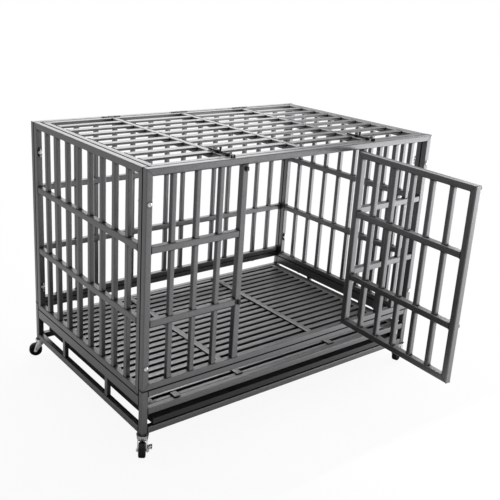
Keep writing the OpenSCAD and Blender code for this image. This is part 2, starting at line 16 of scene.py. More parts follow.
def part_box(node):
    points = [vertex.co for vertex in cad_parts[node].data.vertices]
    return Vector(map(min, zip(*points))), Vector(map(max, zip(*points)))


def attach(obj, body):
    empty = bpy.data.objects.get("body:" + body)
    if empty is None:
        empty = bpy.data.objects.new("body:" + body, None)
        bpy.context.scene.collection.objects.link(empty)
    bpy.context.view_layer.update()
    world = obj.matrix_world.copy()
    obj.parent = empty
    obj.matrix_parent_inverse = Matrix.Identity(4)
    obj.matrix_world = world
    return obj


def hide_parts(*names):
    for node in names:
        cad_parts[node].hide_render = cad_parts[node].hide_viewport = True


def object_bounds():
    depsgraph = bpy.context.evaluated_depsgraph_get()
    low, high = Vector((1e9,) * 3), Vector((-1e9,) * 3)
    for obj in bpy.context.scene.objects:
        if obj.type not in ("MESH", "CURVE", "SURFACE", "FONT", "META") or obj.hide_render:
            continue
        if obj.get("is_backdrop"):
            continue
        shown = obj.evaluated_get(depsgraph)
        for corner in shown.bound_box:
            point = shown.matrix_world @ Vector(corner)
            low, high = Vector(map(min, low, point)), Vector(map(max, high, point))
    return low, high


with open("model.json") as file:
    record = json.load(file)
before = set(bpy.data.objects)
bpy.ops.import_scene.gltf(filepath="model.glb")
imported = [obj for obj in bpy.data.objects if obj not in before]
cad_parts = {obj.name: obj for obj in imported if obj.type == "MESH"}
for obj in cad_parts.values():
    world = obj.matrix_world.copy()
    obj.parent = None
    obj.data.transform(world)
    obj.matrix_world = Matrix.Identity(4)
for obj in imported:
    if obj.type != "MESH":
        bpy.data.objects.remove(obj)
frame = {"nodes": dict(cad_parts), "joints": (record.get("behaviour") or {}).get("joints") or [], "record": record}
nodes = frame["nodes"]
joints = {joint["name"]: joint for joint in frame["joints"]}
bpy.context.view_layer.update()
MM = 0.001

# %% [markdown]
# ## Camera
# The photograph was taken from the front left, a little above the roof. A camera could be placed
# by eye, but this one was solved from the crate's own corners, so its place, turn and lens are
# known. The picture is a crop of a wider frame, and the two shift values move the frame to match.

# %% Place the camera
SENSOR_MM = 36.0
PICTURE_PX = 500.0
FOCAL_PX = 745.05
CENTRE_PX = (212.63, 222.43)
CAMERA_AT = (-1.5187, -1.9055, 1.2818)
CAMERA_TURN, CAMERA_RISE, CAMERA_ROLL = (math.radians(a) for a in (-37.1535, 17.6381, 2.8207))

back = Vector((math.sin(CAMERA_TURN) * math.cos(CAMERA_RISE),
               -math.cos(CAMERA_TURN) * math.cos(CAMERA_RISE), math.sin(CAMERA_RISE)))
level = Vector((math.cos(CAMERA_TURN), math.sin(CAMERA_TURN), 0.0))
rise = back.cross(level)
right = math.cos(CAMERA_ROLL) * level + math.sin(CAMERA_ROLL) * rise
up = -math.sin(CAMERA_ROLL) * level + math.cos(CAMERA_ROLL) * rise

camera_data = bpy.data.cameras.new("photo_camera")
camera_data.sensor_width = SENSOR_MM
camera_data.lens = FOCAL_PX / PICTURE_PX * SENSOR_MM
camera_data.shift_x = (PICTURE_PX / 2 - CENTRE_PX[0]) / PICTURE_PX
camera_data.shift_y = (CENTRE_PX[1] - PICTURE_PX / 2) / PICTURE_PX
camera = bpy.data.objects.new("photo_camera", camera_data)
camera.matrix_world = (Matrix.Translation(CAMERA_AT)
                       @ Matrix((right, up, back)).transposed().to_4x4())
bpy.context.scene.collection.objects.link(camera)
bpy.context.scene.camera = camera
print("camera lens", round(camera_data.lens, 2), "mm")

# %% [markdown]
# ## Shared effects as node groups
# Paint, plate, rubber and plastic all carry the same kinds of detail: a fine grain, faint scuffs
# and a little dust on what faces up. Each could be rebuilt in every material, but a node group is
# built once and takes its own values in each. The groups put out tones, masks and heights only.


# %% Helpers for node groups
def new_group(name, inputs, outputs):
    """A shader node group with named float inputs, and outputs of the given socket types."""
    group = bpy.data.node_groups.new(name, "ShaderNodeTree")
    for label, value in inputs:
        socket = group.interface.new_socket(label, in_out="INPUT", socket_type="NodeSocketFloat")
        socket.default_value = value
    for label, kind in outputs:
        group.interface.new_socket(label, in_out="OUTPUT", socket_type=kind)
    return group, group.nodes.new("NodeGroupInput"), group.nodes.new("NodeGroupOutput")


def add(tree, kind, settings=(), **links):
    """A node with its settings, and with values or output sockets on its named inputs."""
    made = tree.nodes.new(kind)
    for key, value in dict(settings).items():
        setattr(made, key, value)
    for label, value in links.items():
        socket = made.inputs[label.replace("_", " ")]
        if isinstance(value, bpy.types.NodeSocket):
            tree.links.new(value, socket)
        else:
            socket.default_value = value
    return made


def maths(tree, operation, a, b=0.0):
    """The output of a Math node on two values or sockets."""
    made = tree.nodes.new("ShaderNodeMath")
    made.operation = operation
    for socket, value in zip(made.inputs, (a, b)):
        if isinstance(value, bpy.types.NodeSocket):
            tree.links.new(value, socket)
        else:
            socket.default_value = value
    return made.outputs[0]


def spread(tree, value, low, high, to_low=0.0, to_high=1.0):
    """Maps a value from one span to another, clamped."""
    made = add(tree, "ShaderNodeMapRange", From_Min=low, From_Max=high, To_Min=to_low,
               To_Max=to_high)
    tree.links.new(value, made.inputs["Value"])
    return made.outputs["Result"]


def mix(tree, factor, a, b, blend="MIX"):
    """The output of a colour Mix node on values or sockets."""
    made = add(tree, "ShaderNodeMix", {"data_type": "RGBA", "blend_type": blend}, Factor=factor,
               A=a, B=b)
    return made.outputs["Result"]


print("node helpers ready")

# %% [markdown]
# ## Hammered grain
# Silver powder coat bakes into small cells, two or three millimetres wide, with paler crests,
# darker hollows and finer specks. A photograph of the paint could be wrapped round the tubes, but
# cells from a Voronoi texture in object space need no unwrapping and keep their true size on every
# piece.

# %% Group: hammered grain
FLOAT = "NodeSocketFloat"
SPECK_SCALE, CLOUD_SCALE, CLOUD_SHARE = 2.6, 14.0, 0.15
CREST, HOLLOW_AT = 0.05, 0.75
grain, grain_in, grain_out = new_group(
    "hammered_grain", [("Cells per metre", 420.0), ("Contrast", 0.5)],
    [("Tone", FLOAT), ("Height", FLOAT)])
place = add(grain, "ShaderNodeTexCoord").outputs["Object"]
cells = add(grain, "ShaderNodeTexVoronoi", {"feature": "SMOOTH_F1"}, Vector=place,
            Scale=grain_in.outputs["Cells per metre"], Smoothness=0.6, Randomness=1.0)
specks = add(grain, "ShaderNodeTexNoise", Vector=place, Detail=3.0, Roughness=0.65,
             Scale=maths(grain, "MULTIPLY", grain_in.outputs["Cells per metre"], SPECK_SCALE))
clouds = add(grain, "ShaderNodeTexNoise", Vector=place, Scale=CLOUD_SCALE, Detail=2.0,
             Roughness=0.5)
crest = spread(grain, cells.outputs["Distance"], CREST, HOLLOW_AT, 1.0, 0.0)
mixed = maths(grain, "ADD", maths(grain, "MULTIPLY", crest, 0.5),
              maths(grain, "MULTIPLY", specks.outputs["Fac"], 0.5))
mixed = maths(grain, "ADD", maths(grain, "MULTIPLY", mixed, 1.0 - CLOUD_SHARE),
              maths(grain, "MULTIPLY", clouds.outputs["Fac"], CLOUD_SHARE))
swing = maths(grain, "MULTIPLY", maths(grain, "SUBTRACT", mixed, 0.5),
              grain_in.outputs["Contrast"])
grain.links.new(maths(grain, "ADD", swing, 1.0), grain_out.inputs["Tone"])
grain.links.new(mixed, grain_out.inputs["Height"])
print("group", grain.name)

# %% [markdown]
# ## Scuffs and dust
# A crate that is rolled about and wiped down has faint wandering scuffs, and dust lies on faces
# that look up. Scuffs could be drawn one by one, but a distorted noise, kept to patches, gives them
# everywhere at once. The dust takes the upward part of the surface normal and breaks it up with a
# soft noise, so it is never an even film.

# %% Groups: scuffs and settled dust
STREAKS, PATCHES, DRIFTS = (0.56, 0.74), (0.45, 0.65), (0.35, 0.7)
PATCH_SCALE, DRIFT_SCALE, FACING_UP = 6.0, 35.0, 0.6
scuffs, scuffs_in, scuffs_out = new_group(
    "handling_scuffs", [("Amount", 0.4), ("Scale", 60.0)], [("Mask", FLOAT)])
place = add(scuffs, "ShaderNodeTexCoord").outputs["Object"]
streaks = add(scuffs, "ShaderNodeTexNoise", Vector=place, Detail=6.0, Roughness=0.7,
              Distortion=1.4, Scale=scuffs_in.outputs["Scale"])
patches = add(scuffs, "ShaderNodeTexNoise", Vector=place, Scale=PATCH_SCALE, Detail=2.0)
lines = spread(scuffs, streaks.outputs["Fac"], *STREAKS)
where = spread(scuffs, patches.outputs["Fac"], *PATCHES)
scuffs.links.new(maths(scuffs, "MULTIPLY", maths(scuffs, "MULTIPLY", lines, where),
                       scuffs_in.outputs["Amount"]), scuffs_out.inputs["Mask"])

dust, dust_in, dust_out = new_group("settled_dust", [("Amount", 0.3)], [("Mask", FLOAT)])
spot = add(dust, "ShaderNodeTexCoord").outputs
facing = add(dust, "ShaderNodeSeparateXYZ", Vector=spot["Normal"]).outputs["Z"]
place = spot["Object"]
drift = add(dust, "ShaderNodeTexNoise", Vector=place, Scale=DRIFT_SCALE, Detail=4.0,
            Roughness=0.6)
upward = spread(dust, facing, FACING_UP, 1.0)
broken = spread(dust, drift.outputs["Fac"], *DRIFTS)
dust.links.new(maths(dust, "MULTIPLY", maths(dust, "MULTIPLY", upward, broken),
                     dust_in.outputs["Amount"]), dust_out.inputs["Mask"])
print("groups", scuffs.name, dust.name)

# %% [markdown]
# ## Painted shade in the crevices
# Shade gathers where light can't reach: in the seams between two tubes, round the foot of each bar
# and on the walls of the deck's narrow slots, so these spots are painted near black. It could be
# painted on by hand, but the Ambient Occlusion node measures how shut in each spot is, whichever
# way it is looked at, so the same group finds every seam on the crate.

# %% Group: painted crevice shade
OPEN_SHARE, SHUT_SHARE = 0.90, 0.55
crevice_shade, crevice_shade_in, crevice_shade_out = new_group(
    "crevice_painted_shade", [("Reach", 0.03), ("Amount", 0.9)], [("Mask", FLOAT)])
shut_in = add(crevice_shade, "ShaderNodeAmbientOcclusion", {"samples": 8},
              Distance=crevice_shade_in.outputs["Reach"])
# The mask is painted shade: it marks what the AO node finds shut in, for the colour to be darkened there.
closed = spread(crevice_shade, shut_in.outputs["AO"], SHUT_SHARE, OPEN_SHARE, 1.0, 0.0)
crevice_shade.links.new(maths(crevice_shade, "MULTIPLY", closed, crevice_shade_in.outputs["Amount"]),
                crevice_shade_out.inputs["Mask"])
print("group", crevice_shade.name)

# %% [markdown]
# ## Seams between the panels
# The panels stand on the base, and against each other, with a hair's gap whose shade shows as a black
# line. The gaps could be cut wider, but the real ones are thinner than a picture's pixel. So that shade
# is painted: a mask finds the three places by height and depth, measured on the imported panels.

# %% Group: seam lines
SEAM_HALF, SEAM_FADE = 1.7 * MM, 3.0 * MM
front_low, front_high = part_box("front_panel")
end_low, end_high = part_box("left_end_panel")
POST_SEAM = -(front_high[1] + end_low[1]) / 2
END_FACE = -end_high[0]
seams, seams_in, seams_out = new_group("seam_painted_shade", [("Amount", 0.9)], [("Mask", FLOAT)])
spot = add(seams, "ShaderNodeTexCoord").outputs["Object"]
split = add(seams, "ShaderNodeSeparateXYZ", Vector=spot).outputs
out_x, out_y = (maths(seams, "ABSOLUTE", split[k]) for k in "XY")
at_end = maths(seams, "GREATER_THAN", out_x, END_FACE)
at_front = maths(seams, "GREATER_THAN", out_y, POST_SEAM)
inside = maths(seams, "MULTIPLY", at_end, maths(seams, "SUBTRACT", 1.0, at_front))


def line_at(value, seam):
    """One within half a seam's width of a seam, fading to zero."""
    off = maths(seams, "ABSOLUTE", maths(seams, "SUBTRACT", value, seam))
    return spread(seams, off, SEAM_HALF, SEAM_FADE, 1.0, 0.0)


above = maths(seams, "GREATER_THAN", split["Z"], end_low[2])
upright = maths(seams, "MULTIPLY", line_at(out_y, POST_SEAM),
                maths(seams, "MULTIPLY", at_end, above))
across = maths(seams, "ADD", maths(seams, "MULTIPLY", line_at(split["Z"], front_low[2]), at_front),
               maths(seams, "MULTIPLY", line_at(split["Z"], end_low[2]), inside))
# The seam mask is painted shade: it turns the colour black along the gaps.
seams.links.new(maths(seams, "MULTIPLY", maths(seams, "MAXIMUM", upright, across),
                      seams_in.outputs["Amount"]), seams_out.inputs["Mask"])
print("seams at", [round(v / MM, 1) for v in (front_low[2], end_low[2], POST_SEAM)], "mm")

# %% [markdown]
# ## The finishes
# A few finishes cover the crate: dark silver powder coat, bright zinc plate, blackened latches,
# black rubber and grey moulded plastic. A single colour on each would look like a toy, so every one
# starts from a base colour, is lightened and darkened by the grain, and gets its own gloss and
# bump.


# %% Helper: a finish from the shared groups
# The second colour is painted shade: near black, laid on crevices and on the panel seams.
DUST_COLOUR, PAINTED_SHADE_COLOUR = (0.55, 0.54, 0.52, 1.0), (0.004, 0.004, 0.004, 1.0)
GRAIN_GLOSS, WORN_GLOSS, DUST_GLOSS, PAINTED_SHADE_GLOSS = 0.12, 0.15, 0.25, 0.4


def finish(name, colour, rough, metallic=0.0, cells=420.0, contrast=0.5, bump=0.1,
           scuff=0.3, scuff_tone=1.5, dusty=0.2, bump_depth=0.0002, gleam=0.5, crevice_shading=0.9,
           reach=0.03, seamed=0.0):
    """A Principled material whose colour, roughness and bump follow the shared groups."""
    material = bpy.data.materials.new(name)
    material.use_nodes = True
    tree = material.node_tree
    shader = tree.nodes["Principled BSDF"]
    shader.inputs["Metallic"].default_value = metallic
    shader.inputs["Specular IOR Level"].default_value = gleam

    def use(group, **values):
        made = tree.nodes.new("ShaderNodeGroup")
        made.node_tree = group
        for label, value in values.items():
            made.inputs[label.replace("_", " ")].default_value = value
        return made.outputs

    texture = use(grain, Cells_per_metre=cells, Contrast=contrast)
    worn = use(scuffs, Amount=scuff)["Mask"]
    dulled = use(dust, Amount=dusty)["Mask"]
    # Painted shade: the crevice mask, joined by the seam mask where asked, darkens the colour.
    painted_shade = use(crevice_shade, Amount=crevice_shading, Reach=reach)["Mask"]
    if seamed:
        painted_shade = maths(tree, "MAXIMUM", painted_shade, use(seams, Amount=seamed)["Mask"])
    toned = mix(tree, 1.0, (*colour, 1.0), texture["Tone"], "MULTIPLY")
    scuffed = mix(tree, worn, toned, (*[min(1.0, c * scuff_tone) for c in colour], 1.0))
    dusted = mix(tree, dulled, scuffed, DUST_COLOUR)
    # The painted shade goes over the colour last, near black.
    tree.links.new(mix(tree, painted_shade, dusted, PAINTED_SHADE_COLOUR), shader.inputs["Base Color"])

    gloss = maths(tree, "ADD", maths(tree, "MULTIPLY", texture["Height"], GRAIN_GLOSS),
                  rough - GRAIN_GLOSS / 2)
    for mask, rise_by in ((worn, WORN_GLOSS), (dulled, DUST_GLOSS), (painted_shade, PAINTED_SHADE_GLOSS)):
        gloss = maths(tree, "ADD", gloss, maths(tree, "MULTIPLY", mask, rise_by))
    tree.links.new(gloss, shader.inputs["Roughness"])
    relief = add(tree, "ShaderNodeBump", Strength=bump, Distance=bump_depth)
    tree.links.new(texture["Height"], relief.inputs["Height"])
    tree.links.new(relief.outputs["Normal"], shader.inputs["Normal"])
    return material


# %% Make the finishes
powder_coat = finish("silver_powder_coat", (0.15, 0.15, 0.154), 0.34, metallic=0.85, cells=360.0,
                     contrast=0.75, bump=0.35, scuff=0.25, dusty=0.05, reach=0.012, seamed=0.97)
# Painted shade: the weld beads are near black, standing in for the shade at the foot of each bar.
weld_bead_shade = finish("weld_bead_painted_shade", (0.03, 0.03, 0.031), 0.5, metallic=0.5, cells=500.0,
                   contrast=0.8, bump=0.5, scuff=0.2, dusty=0.05)
# Painted light: the deck gets a lighter copy of the powder coat, so it reads brighter than the frame; its strong
# crevice setting paints the slot walls black as shade.
deck_coat_lightened = finish("deck_powder_coat_painted_light", (0.19, 0.19, 0.194), 0.38, metallic=0.75, cells=360.0,
                   contrast=0.75, bump=0.35, scuff=0.25, dusty=0.08, crevice_shading=0.97, reach=0.05)
zinc_plate = finish("bright_zinc_plate", (0.72, 0.72, 0.73), 0.26, metallic=1.0, cells=160.0,
                    contrast=0.25, bump=0.08, scuff=0.35, scuff_tone=0.7, dusty=0.10, crevice_shading=0.10,
                    reach=0.006)
black_plate = finish("black_plated_latches", (0.022, 0.022, 0.023), 0.38, metallic=0.2, cells=500.0,
                     contrast=0.5, bump=0.15, scuff=0.5, scuff_tone=4.0, dusty=0.08, gleam=0.4)
wheel_rubber = finish("black_wheel_rubber", (0.012, 0.012, 0.013), 0.62, cells=900.0, contrast=0.6,
                      bump=0.25, scuff=0.5, scuff_tone=3.0, dusty=0.15, gleam=0.25)
tray_plastic = finish("grey_tray_plastic", (0.055, 0.055, 0.057), 0.5, cells=700.0, contrast=0.4,
                      bump=0.3, scuff=0.4, scuff_tone=1.8, dusty=0.10, gleam=0.3, crevice_shading=0.96,
                      reach=0.10)
finishes = {"powder_coat": powder_coat, "zinc_plate": zinc_plate, "black_steel": black_plate,
            "wheel_rubber": wheel_rubber, "tray_plastic": tray_plastic}
for part in frame["record"]["subparts"]:
    mesh = nodes[part["node"]].data
    mesh.materials.clear()
    mesh.materials.append(finishes[part["material_slot"]])
# The deck wears the lighter copy of the coat, which is painted light.
nodes["floor_deck"].data.materials[0] = deck_coat_lightened

# %% [markdown]
# ## Eased edges
# Pressed strips, hinge leaves and forks have no knife edges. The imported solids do. Modelling every
# edge by hand would take long and would change nothing else, so a Bevel modifier rounds each edge,
# after a Weld modifier has joined the loose corners. The square tubes are rolled further down.


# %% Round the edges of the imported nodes
JOIN_WITHIN, SHARP_EDGE, EDGE_STEPS = 0.01 * MM, math.radians(40), 2


def soften(node, width):
    """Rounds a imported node's sharp edges by modifiers, so its own vertices stay in place."""
    piece = nodes[node]
    weld = piece.modifiers.new("join_corners", "WELD")
    weld.merge_threshold = JOIN_WITHIN
    bevel = piece.modifiers.new("rolled_corners", "BEVEL")
    bevel.width = width
    bevel.segments = EDGE_STEPS
    bevel.limit_method = "ANGLE"
    bevel.angle_limit = SHARP_EDGE
    bevel.use_clamp_overlap = True
    bevel.harden_normals = True
    for face in piece.data.polygons:
        face.use_smooth = True


STRIP_CORNER, FITTING_CORNER = 0.8 * MM, 0.4 * MM
tube_nodes = {"crate": ["base_frame", "tray_runners", "left_end_panel", "right_end_panel",
                        "back_panel", "front_panel"],
              "door": ["front_door"], "lid": ["roof_lid"]}
rolled = [name for names in tube_nodes.values() for name in names]
strips = ["floor_deck", "deck_ledges", "deck_clips", "lid_rests", "waste_tray"]
for name in nodes:
    if name not in rolled:
        soften(name, STRIP_CORNER if name in strips else FITTING_CORNER)
print("eased", len(nodes) - len(rolled), "nodes")

# %% [markdown]
# ## Turned pieces
# Wheels and bolt heads are round, so each is a profile spun about an axis. A cylinder with a Bevel
# would give the outline only. A spun profile also holds the tread grooves, the hollow sides and
# the hub of a moulded wheel, because each point of the profile becomes a ring of vertices.


# %% Helpers for turned pieces
ON_AXIS, CREASE = 1e-9, math.radians(35)


def spin(bm, profile, turn, steps, closed=False):
    """Adds a surface spun from (radius, height) points to a bmesh, placed by a matrix."""
    rings = []
    for radius, height in profile:
        if radius < ON_AXIS:
            rings.append([bm.verts.new(turn @ Vector((0.0, 0.0, height)))])
            continue
        angles = [2 * math.pi * i / steps for i in range(steps)]
        rings.append([bm.verts.new(turn @ Vector((radius * math.cos(a), radius * math.sin(a),
                                                   height))) for a in angles])
    pairs = list(zip(rings, rings[1:])) + ([(rings[-1], rings[0])] if closed else [])
    for lower, upper in pairs:
        for i in range(steps):
            j = (i + 1) % steps
            corners = [lower[i % len(lower)], lower[j % len(lower)],
                       upper[j % len(upper)], upper[i % len(upper)]]
            corners = list(dict.fromkeys(corners))
            if len(corners) > 2:
                bm.faces.new(corners)


def piece_from(bm, name, body, material):
    """Turns a bmesh into a smooth piece that rides on a body."""
    bmesh.ops.recalc_face_normals(bm, faces=bm.faces)
    mesh = bpy.data.meshes.new(name)
    bm.to_mesh(mesh)
    bm.free()
    mesh.materials.append(material)
    made = bpy.data.objects.new(name, mesh)
    bpy.context.scene.collection.objects.link(made)
    mesh.polygons.foreach_set("use_smooth", [True] * len(mesh.polygons))
    mesh.set_sharp_from_angle(angle=CREASE)
    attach(made, body)
    return made


def along(axis, at):
    """A matrix that takes +Z to an axis and the origin to a place."""
    return Matrix.Translation(at) @ Vector(axis).to_track_quat("Z", "Y").to_matrix().to_4x4()


print("spin helper ready")

# %% [markdown]
# ## Castor wheels
# The wheels are moulded in black rubber round a hard core: a crowned tread with two fine grooves,
# sides that step in, and ribs from the rim to the hub. They replace the plain packed wheels and
# turn with the same bodies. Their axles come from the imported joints, and their size repeats the
# packed wheels' size.

# %% Turn the four wheels
WHEEL_R, WHEEL_HALF, AXLE_HOLE = 22.5 * MM, 10.5 * MM, 3.05 * MM
WHEEL_STEPS, RIBS, RIB_T = 72, 8, 1.6 * MM
TREAD_ROUND, ROUND_STEPS = 5 * MM, 6
GROOVE_AT, GROOVE_HALF, GROOVE_DEEP = 3.6 * MM, 0.6 * MM, 0.7 * MM
RIM_R, HUB_R, HOLLOW = 15.5 * MM, 7.0 * MM, 3.2 * MM
EASE = 0.6 * MM


def half_wheel():
    """One half of the wheel's profile, from the middle of the tread to the axle hole."""
    points = [(WHEEL_R, 0.0), (WHEEL_R, GROOVE_AT - GROOVE_HALF),
              (WHEEL_R - GROOVE_DEEP, GROOVE_AT - GROOVE_HALF / 2),
              (WHEEL_R - GROOVE_DEEP, GROOVE_AT + GROOVE_HALF / 2),
              (WHEEL_R, GROOVE_AT + GROOVE_HALF)]
    for i in range(ROUND_STEPS + 1):
        a = math.pi / 2 * i / ROUND_STEPS
        points.append((WHEEL_R - TREAD_ROUND + TREAD_ROUND * math.cos(a),
                       WHEEL_HALF - TREAD_ROUND + TREAD_ROUND * math.sin(a)))
    points += [(RIM_R + EASE, WHEEL_HALF), (RIM_R, WHEEL_HALF - EASE),
               (RIM_R, WHEEL_HALF - HOLLOW), (HUB_R, WHEEL_HALF - HOLLOW),
               (HUB_R, WHEEL_HALF - EASE), (HUB_R - EASE, WHEEL_HALF), (AXLE_HOLE, WHEEL_HALF)]
    return points


outer = half_wheel()
wheel_profile = [(r, -h) for r, h in reversed(outer[1:])] + outer
for corner in ("front_left", "front_right", "back_left", "back_right"):
    roll = joints[corner + "_roll"]
    turn = along(roll["axis"], roll["pos_m"])
    bm = bmesh.new()
    spin(bm, wheel_profile, turn, WHEEL_STEPS, closed=True)
    for i in range(2 * RIBS):
        side = 1 if i < RIBS else -1
        rib = bmesh.ops.create_cube(bm, size=1.0)["verts"]
        shape = (Matrix.Rotation(2 * math.pi * i / RIBS, 4, "Z")
                 @ Matrix.Translation(((RIM_R + HUB_R) / 2, 0,
                                       side * (WHEEL_HALF - HOLLOW / 2 - EASE)))
                 @ Matrix.Diagonal((RIM_R - HUB_R + EASE, RIB_T, HOLLOW, 1)))
        bmesh.ops.transform(bm, matrix=turn @ shape, verts=rib)
    wheel = piece_from(bm, corner + "_moulded_wheel", corner + "_wheel",
                       wheel_rubber)
    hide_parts(corner + "_wheel")
print("turned wheels of", 2 * WHEEL_R / MM, "mm")

# %% [markdown]
# ## Rolled tubes
# Square tube is rolled from strip, so its corners are round, and a thin dark seam shows wherever
# two tubes lie side by side. A Bevel modifier fails here, because the small bolt holes in the
# packed tubes stop it from growing. So each tube is drawn again: a rounded outline is run between
# the planes of its two packed ends, which keeps the mitres. The door stands open, so its tubes are
# swung shut to be measured, and back again.


# %% Helper: find the tubes of a node
SAME_POINT, END_FACING, END_REACH = 0.005 * MM, 0.6, 25 * MM


def tubes_of(node, turn=Matrix()):
    """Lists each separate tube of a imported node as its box, its axis and its two end faces."""
    bm = bmesh.new()
    bm.from_mesh(nodes[node].data)
    bm.transform(turn.inverted())
    bmesh.ops.remove_doubles(bm, verts=bm.verts, dist=SAME_POINT)
    bm.normal_update()
    found, left = [], set(bm.verts)
    while left:
        first = left.pop()
        group, queue = {first}, [first]
        while queue:
            for edge in queue.pop().link_edges:
                for vert in edge.verts:
                    if vert not in group:
                        group.add(vert)
                        queue.append(vert)
        left -= group
        points = [v.co.copy() for v in group]
        low = Vector([min(p[k] for p in points) for k in range(3)])
        high = Vector([max(p[k] for p in points) for k in range(3)])
        axis = max(range(3), key=lambda k: high[k] - low[k])
        ends = []
        for end, sign in ((low, -1), (high, 1)):
            rim = {v.co.copy().freeze() for v in group for f in v.link_faces
                   if f.normal[axis] * sign > END_FACING
                   and abs(f.calc_center_median()[axis] - end[axis]) < END_REACH}
            ends.append(sorted(rim, key=tuple))
        found.append((low, high, axis, ends))
    bm.free()
    return found


# %% Roll the tubes
ROLL_R, ROLL_SHARE, ROLL_STEPS = 2.8 * MM, 0.17, 3
DOOR_OPEN = math.radians(86)


def roll_tube(bm, low, high, axis, ends):
    """Adds one tube with round corners to a bmesh, cut along the planes of its packed ends."""
    u, v = [k for k in range(3) if k != axis]
    radius = min(ROLL_R, ROLL_SHARE * min(high[u] - low[u], high[v] - low[v]))
    outline = []
    for corner, (end_u, end_v) in enumerate(((high, high), (low, high), (low, low), (high, low))):
        at_u = end_u[u] + (radius if end_u is low else -radius)
        at_v = end_v[v] + (radius if end_v is low else -radius)
        for i in range(ROLL_STEPS + 1):
            a = math.pi / 2 * (corner + i / ROLL_STEPS)
            outline.append((at_u + radius * math.cos(a), at_v + radius * math.sin(a)))
    rings = []
    for rim in ends:
        slope = (rim[1] - rim[0]).cross(rim[2] - rim[0])
        ring = []
        for at_u, at_v in outline:
            point = Vector()
            point[u], point[v] = at_u, at_v
            fall = (at_u - rim[0][u]) * slope[u] + (at_v - rim[0][v]) * slope[v]
            point[axis] = rim[0][axis] - fall / slope[axis]
            ring.append(bm.verts.new(point))
        rings.append(ring)
    for i in range(len(outline)):
        j = (i + 1) % len(outline)
        bm.faces.new((rings[0][i], rings[0][j], rings[1][j], rings[1][i]))
    for ring in rings:
        bm.faces.new(ring)


hinge = Matrix.Translation(joints["door_swing"]["pos_m"])
swung = {"crate": Matrix(), "lid": Matrix(),
         "door": hinge @ Matrix.Rotation(DOOR_OPEN, 4, "Z") @ hinge.inverted()}
for body, names in tube_nodes.items():
    for node in names:
        bm, found = bmesh.new(), tubes_of(node, swung[body])
        plain = [tube for tube in found if all(len(rim) == 4 for rim in tube[3])]
        for tube in plain:
            roll_tube(bm, *tube)
        bm.transform(swung[body])
        piece = piece_from(bm, node + "_rolled", body, powder_coat)
        piece.modifiers.new("flat_sides", "WEIGHTED_NORMAL").keep_sharp = True
        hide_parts(node)
        print(node, "tubes rolled:", len(plain), "of", len(found))

# %% [markdown]
# ## Weld beads
# Each bar is welded to the rail that it meets, and the coat covers the bead. A bump map could hint
# at the beads, but they catch light along their length, so they are small rippled tubes laid round
# the end of every bar, in a near-black colour that is painted shade at each bar's foot. The ends are
# read from the imported tubes themselves.


# %% Helper: lay a bead round a tube end
BEAD_R, BUTT_R, RIPPLE_DIP, MITRE_RISE = 1.0 * MM, 0.5 * MM, 0.8, 5 * MM


def lay_bead(bm, rim, axis, radius, ripples=7, sides=6):
    """Lays a rippled tube round the corners of one tube end."""
    centre = sum(rim, Vector()) / len(rim)
    u, v = [k for k in range(3) if k != axis]
    ring = sorted(rim, key=lambda p: math.atan2(p[v] - centre[v], p[u] - centre[u]))
    path, steps = [], 2 * ripples
    for a, b in zip(ring, ring[1:] + ring[:1]):
        path += [(a.lerp(b, (i + 0.5) / steps), i) for i in range(steps)]
    loops = []
    for i, (point, step) in enumerate(path):
        ahead = (path[(i + 1) % len(path)][0] - path[i - 1][0]).normalized()
        out = (point - centre).normalized()
        out = (out - ahead * out.dot(ahead)).normalized()
        other = ahead.cross(out)
        thick = radius * (1.0 if step % 2 else RIPPLE_DIP)
        loops.append([bm.verts.new(point + thick * (math.cos(t) * out + math.sin(t) * other))
                      for t in (2 * math.pi * k / sides for k in range(sides))])
    for one, two in zip(loops, loops[1:] + loops[:1]):
        for k in range(sides):
            m = (k + 1) % sides
            bm.faces.new((one[k], two[k], two[m], one[m]))


# %% Weld the frames
for body, names in tube_nodes.items():
    bm, laid = bmesh.new(), 0
    for node in names:
        for _, _, axis, ends in tubes_of(node, swung[body]):
            for rim in ends:
                if len(rim) != 4:
                    continue
                mitred = max(p[axis] for p in rim) - min(p[axis] for p in rim) > MITRE_RISE
                if mitred and axis == 2:
                    continue
                lay_bead(bm, rim, axis, BUTT_R if mitred else BEAD_R)
                laid += 1
    bm.transform(swung[body])
    piece_from(bm, body + "_weld_beads", body, weld_bead_shade)
    print(body, "weld beads:", laid)

# %% [markdown]
# ## Bolt heads
# The panels are held at their corners by plated bolts with low domed heads and a round socket.
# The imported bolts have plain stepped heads. Spinning part of an ellipse gives the dome, and three
# more points of the profile sink the socket in its middle.

# %% Dome the corner bolts
HEAD_R, HEAD_H, SOCKET_R, SOCKET_DEEP, SHANK_R = 7 * MM, 5 * MM, 2.6 * MM, 2.4 * MM, 3 * MM
DOME_STEPS, BOLT_STEPS = 7, 36
DOME_SWEEP, DOME_TOP, BRIM_SHARE = math.pi / 2 * 0.72, 0.905, 0.2
bm = bmesh.new()
for low, high, _, _ in tubes_of("corner_bolts"):
    outward = -1.0 if low.y < 0 else 1.0
    face_y = (low.y + HEAD_H) if outward < 0 else (high.y - HEAD_H)
    shank = abs((high.y if outward < 0 else low.y) - face_y)
    turn = along((0, outward, 0), ((low.x + high.x) / 2, face_y, (low.z + high.z) / 2))
    profile = [(0.0, -shank), (SHANK_R - EASE, -shank), (SHANK_R, -shank + EASE), (SHANK_R, 0.0),
               (HEAD_R, 0.0)]
    for i in range(DOME_STEPS + 1):
        a = DOME_SWEEP * i / DOME_STEPS
        height = HEAD_H * (BRIM_SHARE + (1.0 - BRIM_SHARE) * math.sin(a) / DOME_TOP)
        profile.append((HEAD_R * math.cos(a), height))
    profile += [(SOCKET_R, HEAD_H), (SOCKET_R, HEAD_H - SOCKET_DEEP), (0.0, HEAD_H - SOCKET_DEEP)]
    spin(bm, profile, turn, BOLT_STEPS)
